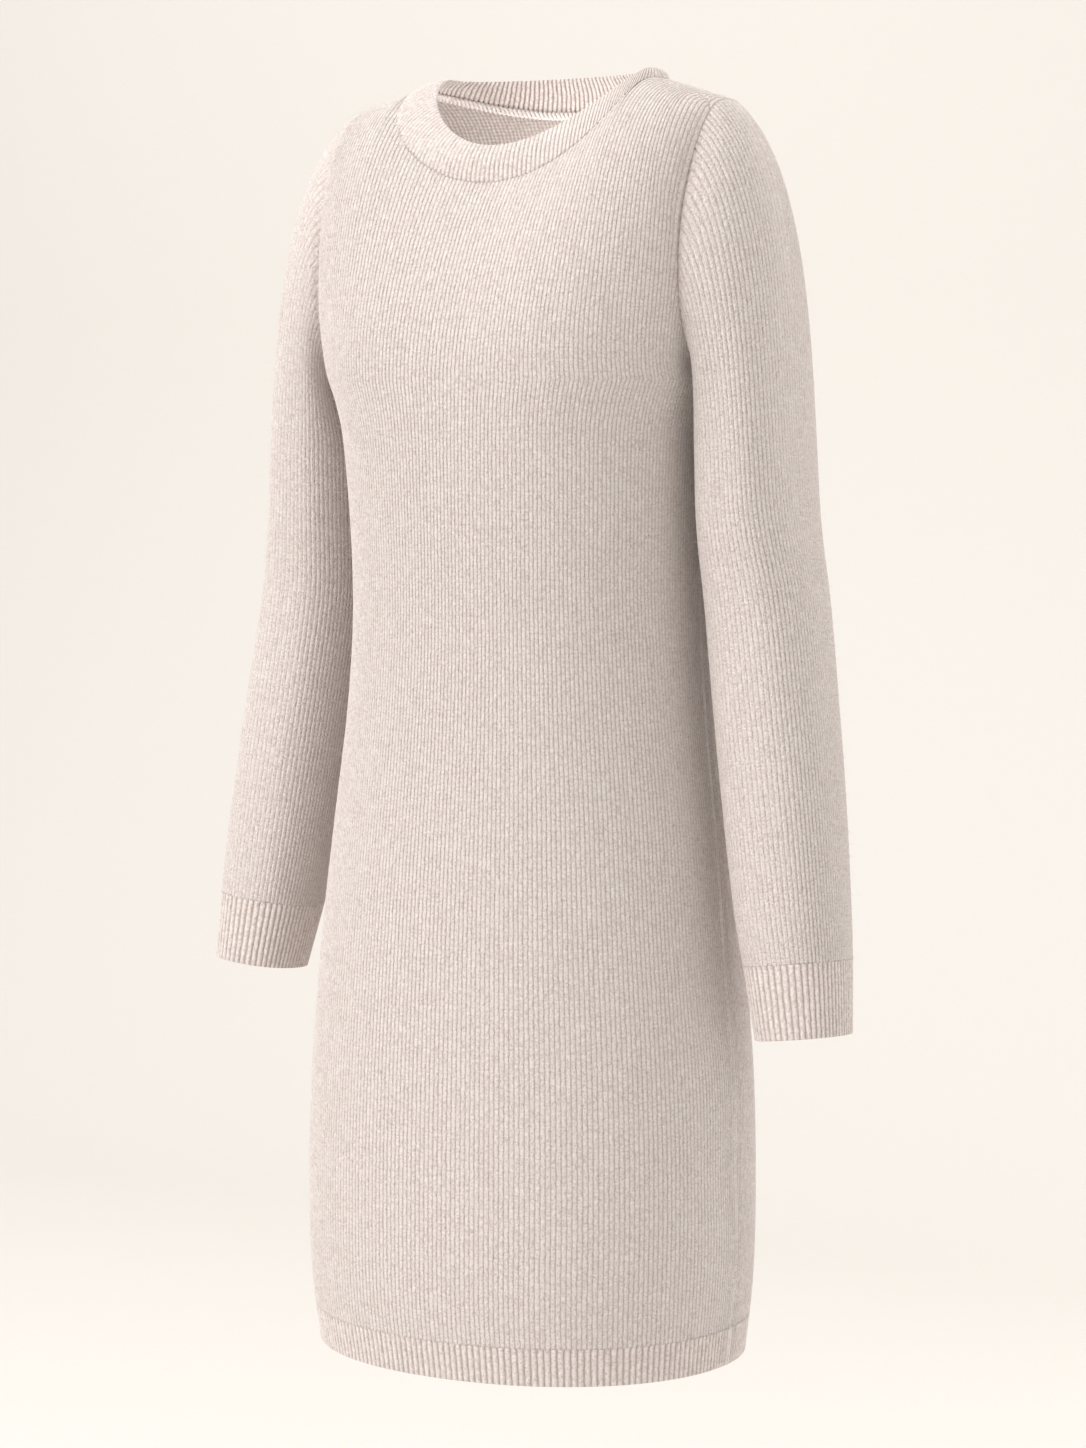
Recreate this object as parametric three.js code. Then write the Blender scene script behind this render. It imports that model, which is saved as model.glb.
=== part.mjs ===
// Sweater dress in fine wool jersey, standing open as it is worn, with nothing inside it.
// Millimetres, +Z up. The front faces -Y and the wearer's left arm is on +X. The origin is
// the middle of the neck, at the height of the shoulder points beside the neckband.
import * as THREE from 'three';

// Driving sizes of the whole garment
const HEM = -900;
const HEM_RIB = 27;
const UNDERARM = -212;
const SHOULDER = { x: 152, z: -18, seamForward: 30 };
const NECK = { half: 95, frontDrop: 74, frontCurve: 1.15, backDrop: 15, backCurve: 2 };
const OPENING = { half: 83, front: 75, back: 46, side: 9, frontDrop: 57, frontCurve: 1.6 };
const CUFF_TOP = -602;
const CUFF_END = -650;
const SADDLE = { front: -16, back: 14 };
const SET_BACK = { neck: 13, shoulder: 3 };
const WAIST = -370;
const SIDE_SEAM = { forward: 10, over: 260 };
const CUP = { x: 80, z: -195, wide: 46, tall: 52, depth: 6 };
const SLEEVE_DROP = { right: 0.965, left: 1.025 };
const CHEST = { spread: 15, rise: 38 };
// How the cloth closes over the chest and the shoulder blades above the underarm, at the
// middle and at the shoulder point. Lower powers slope back sooner, and sooner than 1 turns
// to the shoulder's slope before the shoulder point.
const CLOSING = {
  front: { power: 1.6, root: 1.75, sooner: 1.3 },
  back: { power: 2.3, root: 2, sooner: 1 },
  shoulder: { power: 3, root: 2.9 },
};
// How far the armhole cuts in to the panel at its middle
const ARMHOLE_CUT = 6;

// Cloth and seams
const CLOTH = 2.2;
const BAND_CLOTH = 2.4;
const BAND_CROWN = 2.5;
const SEAM_GAP = 0.3;
const RIB_HEIGHT = 0.9;
const NECK_RIBS = 152;
const CUFF_RIBS = 60;
const HEM_RIBS = 110;

// How finely the walls are divided
const BODY_COLUMNS = 20;
const NECK_COLUMNS = 16;
const ARMHOLE_STEPS = 12;
const BAND_INNER_COLUMNS = 48;

// Rings of the body: height, half width, depth of front and back, and roundness, where 2
// is an ellipse and more is squarer
const BODY = [
  { z: -900, side: 158, front: 134, back: 127, round: 2.1 },
  { z: -850, side: 163, front: 142, back: 133, round: 2.1 },
  { z: -780, side: 165, front: 143, back: 134, round: 2.1 },
  { z: -700, side: 162.5, front: 141, back: 135, round: 2.1 },
  { z: -620, side: 155.7, front: 137, back: 130, round: 2.1 },
  { z: -520, side: 145, front: 133, back: 113, round: 2.1 },
  { z: -440, side: 135, front: 130, back: 100, round: 2.15 },
  { z: -370, side: 130, front: 129, back: 94, round: 2.2 },
  { z: -310, side: 131, front: 130, back: 94, round: 2.25 },
  { z: -250, side: 135, front: 131, back: 97, round: 2.35 },
  { z: -230, side: 139.5, front: 131, back: 98, round: 2.38 },
  { z: UNDERARM, side: 146.5, front: 131, back: 99, round: 2.4 },
];

// Rings of one sleeve below its head: height, middle, half sizes across and along the body,
// and roundness
const SLEEVE = [
  { z: -262, x: 174.5, y: -3, across: 32.5, deep: 57, round: 2.8 },
  { z: -310, x: 176.5, y: -2, across: 34.5, deep: 56, round: 2.7 },
  { z: -365, x: 183, y: -1, across: 38.5, deep: 50.5, round: 2.5 },
  { z: -430, x: 192, y: -6, across: 40, deep: 47.5, round: 2.4 },
  { z: -500, x: 202, y: -12, across: 40, deep: 45, round: 2.35 },
  { z: -570, x: 212, y: -18.5, across: 38.3, deep: 41.3, round: 2.3 },
  { z: CUFF_TOP, x: 217, y: -21, across: 36.2, deep: 39, round: 2.25 },
  { z: CUFF_END, x: 224, y: -26, across: 32.6, deep: 35.2, round: 2.2 },
];
const SLEEVE_LEAN = new THREE.Vector3(0.12, -0.06, -1).normalize();

// How far along the sleeve head its rings lie, from the armhole to the first sleeve ring
const HEAD_STEPS = [0.06, 0.18, 0.36, 0.56, 0.78, 1];
// The way that the sleeve head leaves the armhole and comes down to that ring. Pairs are for
// the underarm and the shoulder point, and a pull is a share of the distance between the two.
const HEAD = {
  leave: { out: [0.6, 0.73], forward: 0.15, up: [-0.8, -0.68], pull: [0.6, 0.78] },
  arrive: { out: 0.06, pull: [0.7, 1.3] },
};

// The ways that the cloth faces round the armhole, along the shoulder seam and round the
// neck seam, whose pair is for its sides and its middle
const ARMHOLE_FACES = { out: 0.08, forward: 1.6 };
const SHOULDER_FACES = { out: 0.33, forward: 0.5, up: 0.9 };
const NECK_FACES = { out: 0.47, forward: 0.83, up: [0.88, 0.56] };

// Rows of the neckband, from its seam to its free edge
const BAND_ROWS = [0, 0.5, 1];

// How exactly a seam's end is found, and how near the middle of the neck counts as its side
const RISE_ERROR = 1e-7;
const NEARLY_SIDE = 1e-6;

const vec = (x, y, z) => new THREE.Vector3(x, y, z);
const mix = (a, b, t) => a + (b - a) * t;
const ease = (t) => {
  const k = THREE.MathUtils.clamp(t, 0, 1);
  return k * k * (3 - 2 * k);
};

// A smooth value between the rows of a table, at one height
function between(table, z, column) {
  const height = THREE.MathUtils.clamp(z, Math.min(table[0].z, table.at(-1).z),
    Math.max(table[0].z, table.at(-1).z));
  const slope = (i) => {
    const low = table[Math.max(i - 1, 0)];
    const high = table[Math.min(i + 1, table.length - 1)];
    return (high[column] - low[column]) / (high.z - low.z);
  };
  let i = 0;
  while (i < table.length - 2 && (height - table[i + 1].z) * (table[1].z - table[0].z) > 0) i += 1;
  const step = table[i + 1].z - table[i].z;
  const t = (height - table[i].z) / step;
  return (1 + 2 * t) * (1 - t) ** 2 * table[i][column] + t * (1 - t) ** 2 * step * slope(i)
    + t * t * (3 - 2 * t) * table[i + 1][column] + t * t * (t - 1) * step * slope(i + 1);
}

// The top of the cloth over the body: the shoulder slope, and a low saddle across the neck
function topHeight(x, facing = 1) {
  const reach = Math.abs(x);
  if (reach >= NECK.half) {
    return SHOULDER.z * (reach - NECK.half) / (SHOULDER.x - NECK.half);
  }
  return (facing < 0 ? SADDLE.front : SADDLE.back) * (1 - (reach / NECK.half) ** 2);
}

// The neck and shoulders lie a little behind the middle of the body, and the side seams
// swing a little forward below the waist
const setBack = (x, z) => ease((z - UNDERARM) / -UNDERARM)
  * mix(SET_BACK.neck, SET_BACK.shoulder, (x / SHOULDER.x) ** 2)
  - SIDE_SEAM.forward * ease((WAIST - z) / SIDE_SEAM.over);

// Distance of the cloth from the side seam plane, at a point of the front or back
function depth(x, z, facing) {
  const reach = Math.abs(x);
  const above = Math.max(z - UNDERARM, 0);
  const wide = between(BODY, z, 'side') + CHEST.spread * (1 - Math.exp(-above / CHEST.rise));
  const square = (reach / SHOULDER.x) ** 2;
  const up = THREE.MathUtils.clamp((z - UNDERARM) / (topHeight(x, facing) - UNDERARM), 0, 1);
  const middle = facing < 0 ? CLOSING.front : CLOSING.back;
  const out = Math.min(square * middle.sooner, 1);
  const power = mix(middle.power, CLOSING.shoulder.power, out);
  const closing = (1 - up ** power) ** (1 / mix(middle.root, CLOSING.shoulder.root, out));
  const round = between(BODY, z, 'round');
  const across = Math.max(1 - (reach / wide) ** round, 0) ** (1 / round);
  const full = between(BODY, z, facing < 0 ? 'front' : 'back') * closing * across;
  const cup = Math.exp(-(((reach - CUP.x) / CUP.wide) ** 2) - ((z - CUP.z) / CUP.tall) ** 2);
  return full + (facing < 0 ? CUP.depth * cup * across : 0);
}

const onBody = (x, z, facing) => vec(x, setBack(x, z) + facing * depth(x, z, facing), z);

// Half width of the body at the armhole, from the underarm (0) to the shoulder point (1)
const armholeWidth = (up) => SHOULDER.x + (between(BODY, UNDERARM, 'side') - SHOULDER.x)
  * (1 - up) ** 3 - ARMHOLE_CUT * Math.sin(Math.PI * up);

// The highest point that a column of the body reaches: on the neck seam or the shoulder
const SHOULDER_COLUMNS = (BODY_COLUMNS - NECK_COLUMNS) / 2;
function columnTop(c, facing) {
  const fromMiddle = c - BODY_COLUMNS / 2;
  const out = (Math.abs(fromMiddle) - NECK_COLUMNS / 2) / SHOULDER_COLUMNS;
  if (out > 0) {
    const x = Math.sign(fromMiddle) * mix(NECK.half, SHOULDER.x, out);
    return { x, z: topHeight(x), forward: SHOULDER.seamForward * out };
  }
  const angle = Math.PI * fromMiddle / NECK_COLUMNS;
  return { x: NECK.half * Math.sin(angle), z: neckHeight(Math.cos(angle), facing), forward: 0 };
}

// A point of a column above the underarm. Its rise runs from 0 at the underarm to 1 on top
// of the shoulder, and then on down the other side.
function risen(c, facing, rise) {
  const top = columnTop(c, facing);
  const up = rise > 1 ? 2 - rise : rise;
  const low = Math.sin(Math.PI * (c / BODY_COLUMNS - 0.5));
  const x = armholeWidth(up) * mix(low, top.x / SHOULDER.x, up);
  return onBody(x, mix(UNDERARM, top.z, up), rise > 1 ? -facing : facing);
}

// Where a column ends. The shoulder seam lies in front of the top of the shoulder, so the
// front stops short of the top and the back runs over it to the seam.
function lastRise(c, facing) {
  const { forward } = columnTop(c, facing);
  if (forward === 0) return 1;
  let low = 0.5;
  let high = 1;
  while (high - low > RISE_ERROR) {
    const middle = (low + high) / 2;
    const point = risen(c, -1, middle);
    if (setBack(point.x, point.z) - point.y > forward) low = middle; else high = middle;
  }
  return facing < 0 ? low : 2 - low;
}

// One body panel as a grid of points, from the hem seam up to the neck and shoulder seams
function panelGrid(facing) {
  const heights = [HEM + HEM_RIB, ...BODY.map((row) => row.z).filter((z) => z > HEM + HEM_RIB)];
  const columns = Array.from({ length: BODY_COLUMNS + 1 }, (_, c) => c);
  const rows = heights.map((z) => columns.map((c) => onBody(
    between(BODY, z, 'side') * Math.sin(Math.PI * (c / BODY_COLUMNS - 0.5)), z, facing)));
  for (let k = 1; k <= ARMHOLE_STEPS; k += 1) {
    rows.push(columns.map((c) => risen(c, facing, riseAt(k) * lastRise(c, facing))));
  }
  return rows;
}

const riseAt = (k) => (1 - Math.cos(Math.PI * k / ARMHOLE_STEPS)) / 2;

function neckHeight(toMiddle, facing) {
  if (toMiddle < NEARLY_SIDE) return 0;
  return facing < 0 ? -NECK.frontDrop * toMiddle ** NECK.frontCurve
    : -NECK.backDrop * toMiddle ** NECK.backCurve;
}

// Outward directions on a grid, from its neighbours
function directions(grid, facing) {
  return grid.map((row, r) => row.map((point, c) => {
    const alongRow = vec(0, 0, 0).subVectors(row[Math.min(c + 1, row.length - 1)],
      row[Math.max(c - 1, 0)]);
    const upGrid = vec(0, 0, 0).subVectors(grid[Math.min(r + 1, grid.length - 1)][c],
      grid[Math.max(r - 1, 0)][c]);
    return alongRow.cross(upGrid).multiplyScalar(-facing).normalize();
  }));
}

// Across a seam, square to its line and to the outward direction
function across(along, out, side) {
  const square = vec(0, 0, 0).crossVectors(along, out).normalize();
  return square.dot(side) < 0 ? square.negate() : square;
}

// The points of a closed seam, each with the directions out of the cloth and across the seam
function seamRing(points, outs, side) {
  return points.map((point, i) => {
    const along = vec(0, 0, 0).subVectors(points[(i + 1) % points.length],
      points.at(i - 1));
    return { point, out: outs[i], across: across(along, outs[i], side(point)) };
  });
}
const besideSeam = (seam, way) => seam.point.clone().addScaledVector(seam.across,
  way * SEAM_GAP / 2);

// A closed wall between an outer and an inner grid of points. Their rows need not have the
// same number of points, because the edges are joined point by point along their length.
function wall(outer, inner, ring) {
  const points = [];
  const triangles = [];
  const number = (grid) => grid.map((row) => row.map((point) => points.push(point) - 1));
  const outside = number(outer);
  const inside = number(inner);
  const face = (grid, flipped) => {
    for (let r = 0; r < grid.length - 1; r += 1) {
      const count = grid[r].length;
      for (let c = 0; c < (ring ? count : count - 1); c += 1) {
        const next = (c + 1) % count;
        const corners = [grid[r][c], grid[r][next], grid[r + 1][next], grid[r + 1][c]];
        if (flipped) corners.reverse();
        triangles.push([corners[0], corners[1], corners[2]], [corners[0], corners[2], corners[3]]);
      }
    }
  };
  const bridge = (a, b) => {
    let i = 0;
    let j = 0;
    while (i < a.length - 1 || j < b.length - 1) {
      const stepA = (i + 1) / (a.length - 1);
      const stepB = (j + 1) / (b.length - 1);
      if (j === b.length - 1 || (i < a.length - 1 && stepA <= stepB)) {
        triangles.push([a[i + 1], a[i], b[j]]);
        i += 1;
      } else {
        triangles.push([b[j], b[j + 1], a[i]]);
        j += 1;
      }
    }
  };
  const looped = (row) => (ring ? [...row, row[0]] : row);
  const column = (grid, at) => grid.map((row) => row.at(at));
  face(outside, false);
  face(inside, true);
  bridge(looped(outside[0]), looped(inside[0]));
  bridge(looped(outside.at(-1)).toReversed(), looped(inside.at(-1)).toReversed());
  if (!ring) {
    bridge(column(outside, -1), column(inside, -1));
    bridge(column(outside, 0).toReversed(), column(inside, 0).toReversed());
  }
  let volume = 0;
  for (const [a, b, c] of triangles) {
    volume += points[a].dot(vec(0, 0, 0).crossVectors(points[b], points[c]));
  }
  if (volume < 0) triangles.forEach((triangle) => triangle.reverse());
  const geometry = new THREE.BufferGeometry();
  geometry.setAttribute('position',
    new THREE.Float32BufferAttribute(points.flatMap((point) => point.toArray()), 3));
  geometry.setIndex(triangles.flat());
  geometry.computeVertexNormals();
  return geometry;
}

// A point at a share of the length of an open or closed line of points
function pointOn(line, share) {
  const place = THREE.MathUtils.clamp(share, 0, 1) * (line.length - 1);
  const i = Math.min(Math.floor(place), line.length - 2);
  return vec(0, 0, 0).lerpVectors(line[i], line[i + 1], place - i);
}

// Ribbed cloth between rows of points: ridges raised on the outer side, plain within. Each
// row has a point and an outward direction at every coarse step.
function ribbed(rows, outs, { ribs, cloth, ring, innerColumns }) {
  const closed = (row) => (ring ? [...row, row[0]] : row);
  const columns = 2 * ribs;
  const last = ring ? columns - 1 : columns;
  const outer = rows.map((row, r) => Array.from({ length: last + 1 }, (_, c) => {
    const point = pointOn(closed(row), c / columns);
    const out = pointOn(closed(outs[r]), c / columns);
    return point.addScaledVector(out, (c % 2) * RIB_HEIGHT - RIB_HEIGHT);
  }));
  const innerLast = ring ? innerColumns - 1 : innerColumns;
  const inner = rows.map((row, r) => Array.from({ length: innerLast + 1 }, (_, c) => {
    const point = pointOn(closed(row), c / innerColumns);
    const out = pointOn(closed(outs[r]), c / innerColumns);
    return point.addScaledVector(out, -cloth - RIB_HEIGHT);
  }));
  return wall(outer, inner, ring);
}

// Outward directions along the armhole and along the neck seam
function armholeOut(angle) {
  return vec(ARMHOLE_FACES.out, -ARMHOLE_FACES.forward * Math.sin(angle), Math.cos(angle))
    .normalize();
}
function neckOut(angle) {
  const rise = Math.abs(Math.sin(angle));
  return vec(NECK_FACES.out * Math.cos(angle), -NECK_FACES.forward * Math.sin(angle),
    mix(...NECK_FACES.up, rise)).normalize();
}
const mirrored = (point, side) => vec(point.x * side, point.y, point.z);

const MATERIALS = {
  jersey: { color: 0xe6dcd3, roughness: 0.95, metalness: 0 },
  rib: { color: 0xe0d5cb, roughness: 0.95, metalness: 0 },
};
const group = new THREE.Group();
function add(name, geometry, kind) {
  const mesh = new THREE.Mesh(geometry, new THREE.MeshStandardMaterial(MATERIALS[kind]));
  mesh.name = name;
  group.add(mesh);
}

// Front and back panels, knitted to shape. The armhole and neck seams come first, because
// the sleeves and the neckband share them.
const armholeStart = BODY.filter((row) => row.z > HEM + HEM_RIB).length;
const RING = 2 * ARMHOLE_STEPS;
const FULL_TURN = 2 * Math.PI;
const grids = new Map([-1, 1].map((facing) => [facing, panelGrid(facing)]));
const ringPlaces = Array.from({ length: RING }, (_, i) => {
  const facing = i < ARMHOLE_STEPS ? -1 : 1;
  const k = ARMHOLE_STEPS - Math.min(i, RING - i);
  const rise = riseAt(k) * lastRise(BODY_COLUMNS, facing);
  const turn = Math.acos(2 * (rise > 1 ? 2 - rise : rise) - 1);
  const front = facing < 0 || rise > 1;
  const point = grids.get(facing)[armholeStart + k][BODY_COLUMNS];
  return { angle: front ? turn : FULL_TURN - turn, point };
});
const ARMHOLE = seamRing(ringPlaces.map((place) => place.point),
  ringPlaces.map((place) => armholeOut(place.angle)), () => vec(1, 0, 0));
const bandSteps = 2 * NECK_COLUMNS;
const bandAngles = Array.from({ length: bandSteps }, (_, i) => FULL_TURN * i / bandSteps);
const NECK_SEAM = seamRing(bandAngles.map((angle, i) => {
  const facing = i < NECK_COLUMNS ? -1 : 1;
  const c = BODY_COLUMNS / 2 + NECK_COLUMNS / 2 - Math.min(i, bandSteps - i);
  return grids.get(facing).at(-1)[c];
}), bandAngles.map(neckOut), () => vec(0, 0, 1));

const panels = new Map();
for (const [facing, grid] of grids) {
  const outs = directions(grid, facing);
  const top = grid.length - 1;
  const edge = grid.map((row) => row.map((point) => point.clone()));
  for (const [c, side] of [[0, -1], [BODY_COLUMNS, 1]]) {
    for (let r = 0; r < armholeStart; r += 1) {
      outs[r][c] = vec(side, 0, 0);
      edge[r][c].y += facing * SEAM_GAP / 2;
    }
    for (let r = armholeStart; r <= top; r += 1) {
      const steps = top - r;
      const seam = ARMHOLE[facing < 0 ? steps : (RING - steps) % RING];
      outs[r][c] = mirrored(seam.out, side);
      edge[r][c] = mirrored(besideSeam(seam, -1), side);
    }
    edge[armholeStart][c].y += facing * SEAM_GAP / 2;
    for (let n = 0; n <= SHOULDER_COLUMNS; n += 1) {
      const column = c - side * n;
      const share = 1 - n / SHOULDER_COLUMNS;
      if (n > 0) {
        outs[top][column] = vec(side * SHOULDER_FACES.out, -SHOULDER_FACES.forward * share,
          SHOULDER_FACES.up).normalize();
      }
      const along = vec(0, 0, 0).subVectors(grid[top][column], grid[top][c - side * (n + 1)]);
      if (n === SHOULDER_COLUMNS) {
        along.subVectors(grid[top][c - side * (n - 1)], grid[top][column]);
      }
      edge[top][column].addScaledVector(across(along, outs[top][column], vec(0, facing, 0)),
        SEAM_GAP / 2);
    }
  }
  for (let c = 0; c <= BODY_COLUMNS; c += 1) {
    edge[0][c].z += SEAM_GAP / 2;
    outs[0][c].setZ(0).normalize();
    const steps = BODY_COLUMNS / 2 + NECK_COLUMNS / 2 - c;
    if (steps >= 0 && steps <= NECK_COLUMNS) {
      const seam = NECK_SEAM[facing < 0 ? steps : (bandSteps - steps) % bandSteps];
      edge[top][c].addScaledVector(seam.across, -SEAM_GAP / 2);
      outs[top][c] = seam.out;
    }
  }
  const inner = edge.map((row, r) => row.map((point, c) => point.clone()
    .addScaledVector(outs[r][c], -CLOTH)));
  panels.set(facing, { grid, outs });
  add(facing < 0 ? 'front_panel' : 'back_panel', wall(edge, inner, false), 'jersey');
}

// Sleeves: a head drawn from the armhole to a ring, then the rings of the arm
function sleeveRing(row, drop) {
  const across = vec(-SLEEVE_LEAN.z, 0, SLEEVE_LEAN.x).normalize();
  const forward = vec(0, SLEEVE_LEAN.z, -SLEEVE_LEAN.y).normalize();
  return ringPlaces.map(({ angle }) => {
    const [c, s] = [Math.cos(angle), Math.sin(angle)];
    const size = (Math.abs(c) ** row.round + Math.abs(s) ** row.round) ** (-1 / row.round);
    const z = mix(SLEEVE[0].z, row.z, drop);
    return vec(row.x, row.y, z).addScaledVector(across, row.across * size * c)
      .addScaledVector(forward, row.deep * size * s);
  });
}

function sleeveGrid(drop) {
  const armhole = ringPlaces.map((place) => place.point.clone());
  const first = sleeveRing(SLEEVE[0], drop);
  const rows = [armhole];
  for (const t of HEAD_STEPS) {
    rows.push(armhole.map((start, i) => {
      const { angle } = ringPlaces[i];
      const high = (1 + Math.cos(angle)) / 2;
      const reach = start.distanceTo(first[i]);
      const leave = vec(mix(...HEAD.leave.out, high), -HEAD.leave.forward * Math.sin(angle),
        mix(...HEAD.leave.up, high)).normalize().multiplyScalar(reach * mix(...HEAD.leave.pull, high));
      const arrive = vec(HEAD.arrive.out, 0, -1)
        .multiplyScalar(reach * mix(...HEAD.arrive.pull, high));
      return vec(0, 0, 0)
        .addScaledVector(start, (1 + 2 * t) * (1 - t) ** 2).addScaledVector(leave, t * (1 - t) ** 2)
        .addScaledVector(first[i], t * t * (3 - 2 * t)).addScaledVector(arrive, t * t * (t - 1));
    }));
  }
  for (const row of SLEEVE.slice(1, -1)) rows.push(sleeveRing(row, drop));
  return rows;
}

function ringDirections(rows) {
  return rows.map((row, r) => row.map((point, c) => {
    const around = vec(0, 0, 0).subVectors(row[(c + 1) % RING], row[(c + RING - 1) % RING]);
    const down = vec(0, 0, 0).subVectors(rows[Math.min(r + 1, rows.length - 1)][c],
      rows[Math.max(r - 1, 0)][c]);
    return around.cross(down).normalize();
  }));
}

for (const [name, side] of [['right', -1], ['left', 1]]) {
  const rows = sleeveGrid(SLEEVE_DROP[name]);
  const outs = ringDirections(rows);
  rows[0] = ARMHOLE.map((seam) => besideSeam(seam, 1));
  outs[0] = ARMHOLE.map((seam) => seam.out);
  const cuffTop = rows.at(-1);
  const cuffEnd = sleeveRing(SLEEVE.at(-1), SLEEVE_DROP[name]);
  const cuffMiddle = cuffTop.map((point, i) => point.clone().lerp(cuffEnd[i], 0.5));
  const cuffOuts = ringDirections([cuffTop, cuffEnd]);
  outs[outs.length - 1] = cuffOuts[0];
  const cuffRows = [cuffTop.map((p) => p.clone().addScaledVector(SLEEVE_LEAN, SEAM_GAP / 2)),
    cuffMiddle, cuffEnd];
  cuffTop.forEach((point) => point.addScaledVector(SLEEVE_LEAN, -SEAM_GAP / 2));
  const turn = (grid) => grid.map((row) => row.map((point) => mirrored(point, side)));
  const inner = rows.map((row, r) => row.map((point, c) => point.clone()
    .addScaledVector(outs[r][c], -CLOTH)));
  add(`${name}_sleeve`, wall(turn(rows), turn(inner), true), 'jersey');
  add(`${name}_cuff`, ribbed(turn(cuffRows), turn([cuffOuts[0], cuffOuts[0], cuffOuts[1]]),
    { ribs: CUFF_RIBS, cloth: CLOTH - RIB_HEIGHT, ring: true, innerColumns: RING }), 'rib');
}

// Ribbed hem of the front and of the back
for (const facing of [-1, 1]) {
  const { grid, outs } = panels.get(facing);
  const top = grid[0].map((point) => vec(point.x, point.y, HEM + HEM_RIB - SEAM_GAP / 2));
  const end = grid[0].map((_, c) => onBody(between(BODY, HEM, 'side')
    * Math.sin(Math.PI * (c / BODY_COLUMNS - 0.5)), HEM, facing));
  for (const row of [top, end]) {
    row[0].y += facing * SEAM_GAP / 2;
    row[BODY_COLUMNS].y += facing * SEAM_GAP / 2;
  }
  add(facing < 0 ? 'front_hem_rib' : 'back_hem_rib', ribbed([top, end], [outs[0], outs[0]],
    { ribs: HEM_RIBS, cloth: CLOTH - RIB_HEIGHT, ring: false, innerColumns: BODY_COLUMNS }), 'rib');
}

// Neckband: a ribbed ring linked to the neck edge, leaning in to the opening
const bandOuts = bandAngles.map(neckOut);
const bandRow = (lean) => bandAngles.map((angle, i) => {
  const [c, s] = [Math.cos(angle), Math.sin(angle)];
  const drop = s > 0 ? OPENING.frontDrop * s ** OPENING.frontCurve : 0;
  const edge = vec(OPENING.half * c, SET_BACK.neck - (s > 0 ? OPENING.front : OPENING.back) * s,
    OPENING.side - drop);
  return besideSeam(NECK_SEAM[i], 1).lerp(edge, lean)
    .addScaledVector(bandOuts[i], BAND_CROWN * Math.sin(Math.PI * lean));
});
add('neckband', ribbed(BAND_ROWS.map(bandRow), [bandOuts, bandOuts, bandOuts],
  { ribs: NECK_RIBS, cloth: BAND_CLOTH - RIB_HEIGHT, ring: true, innerColumns: BAND_INNER_COLUMNS }),
'rib');

export default group;
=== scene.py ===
# Sweater dress in fine wool jersey, seen as worn with nothing inside it.
# The sizes below are millimetres, as a knitter would write them, and every mesh is made in
# metres. +Z is up, the front faces -Y, and the origin is the middle of the neck.
import math
import bpy
import numpy as np
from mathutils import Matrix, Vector
from mathutils.kdtree import KDTree


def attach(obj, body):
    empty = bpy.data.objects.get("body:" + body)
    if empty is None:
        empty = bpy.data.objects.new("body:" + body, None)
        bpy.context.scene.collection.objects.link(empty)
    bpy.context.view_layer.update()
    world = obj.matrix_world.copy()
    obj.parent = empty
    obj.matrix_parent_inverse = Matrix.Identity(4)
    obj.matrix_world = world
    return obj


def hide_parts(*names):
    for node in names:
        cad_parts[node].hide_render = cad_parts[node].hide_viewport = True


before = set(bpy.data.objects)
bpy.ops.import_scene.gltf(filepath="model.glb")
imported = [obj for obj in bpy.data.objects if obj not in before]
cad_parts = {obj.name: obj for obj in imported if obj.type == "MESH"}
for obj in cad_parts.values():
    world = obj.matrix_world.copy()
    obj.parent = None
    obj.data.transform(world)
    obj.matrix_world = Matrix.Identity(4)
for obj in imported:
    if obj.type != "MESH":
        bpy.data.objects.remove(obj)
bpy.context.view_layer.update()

# Front and back panels: plain wool-blend jersey, knitted to shape on a flat machine, fashioned
# beside the armholes, and linked to each other at the sides and shoulders. Each is a thin
# cloth with its stitch columns (wales) raised, plain outside and with purl bumps inside.
MM = 0.001
HEM, HEM_RIB, UNDERARM, WAIST = -900.0, 27.0, -212.0, -370.0
SHOULDER_X, SHOULDER_Z, SEAM_FORWARD = 152.0, -18.0, 30.0
NECK_HALF, NECK_DROP_FRONT, NECK_DROP_BACK = 95.0, 74.0, 15.0
SADDLE = {-1: -16.0, 1: 14.0}
SET_BACK_NECK, SET_BACK_SHOULDER = 13.0, 3.0
SIDE_FORWARD, SIDE_OVER = 10.0, 260.0
CUP_X, CUP_Z, CUP_WIDE, CUP_TALL, CUP_DEPTH = 80.0, -195.0, 46.0, 52.0, 6.0
CHEST_SPREAD, CHEST_RISE = 15.0, 38.0
CLOSING_FRONT, CLOSING_BACK, CLOSING_SHOULDER = (1.6, 1.75), (2.3, 2.0), (3.0, 2.9)
FRONT_SOONER = 1.3
ARMHOLE_CUT = 6.0
NECK_CURVE_FRONT, NECK_CURVE_BACK = 1.15, 2
CLOTH = 2.2
PANEL_WALES = 144
WALE_COLUMNS = 4
COURSE = 2.3
WALE_RELIEF = 0.48
JOIN_ROW, JOIN_FADE = 1.2, 0.6
FRONT, BACK = -1, 1

# Rings of the body: height, half width, depth of the front, depth of the back, and
# roundness, where 2 is an ellipse and more is squarer
BODY = np.array([
    (-900, 158, 134, 127, 2.1), (-850, 163, 142, 133, 2.1), (-780, 165, 143, 134, 2.1),
    (-700, 162.5, 141, 135, 2.1), (-620, 155.7, 137, 130, 2.1), (-520, 145, 133, 113, 2.1),
    (-440, 135, 130, 100, 2.15), (-370, 130, 129, 94, 2.2), (-310, 131, 130, 94, 2.25),
    (-250, 135, 131, 97, 2.35), (-230, 139.5, 131, 98, 2.38), (-212, 146.5, 131, 99, 2.4)])
UNDERARM_HALF = 146.5
WIDTH, DEPTH, ROUND = 1, {FRONT: 2, BACK: 3}, 4


def mix(a, b, t):
    return a + (b - a) * t


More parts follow.
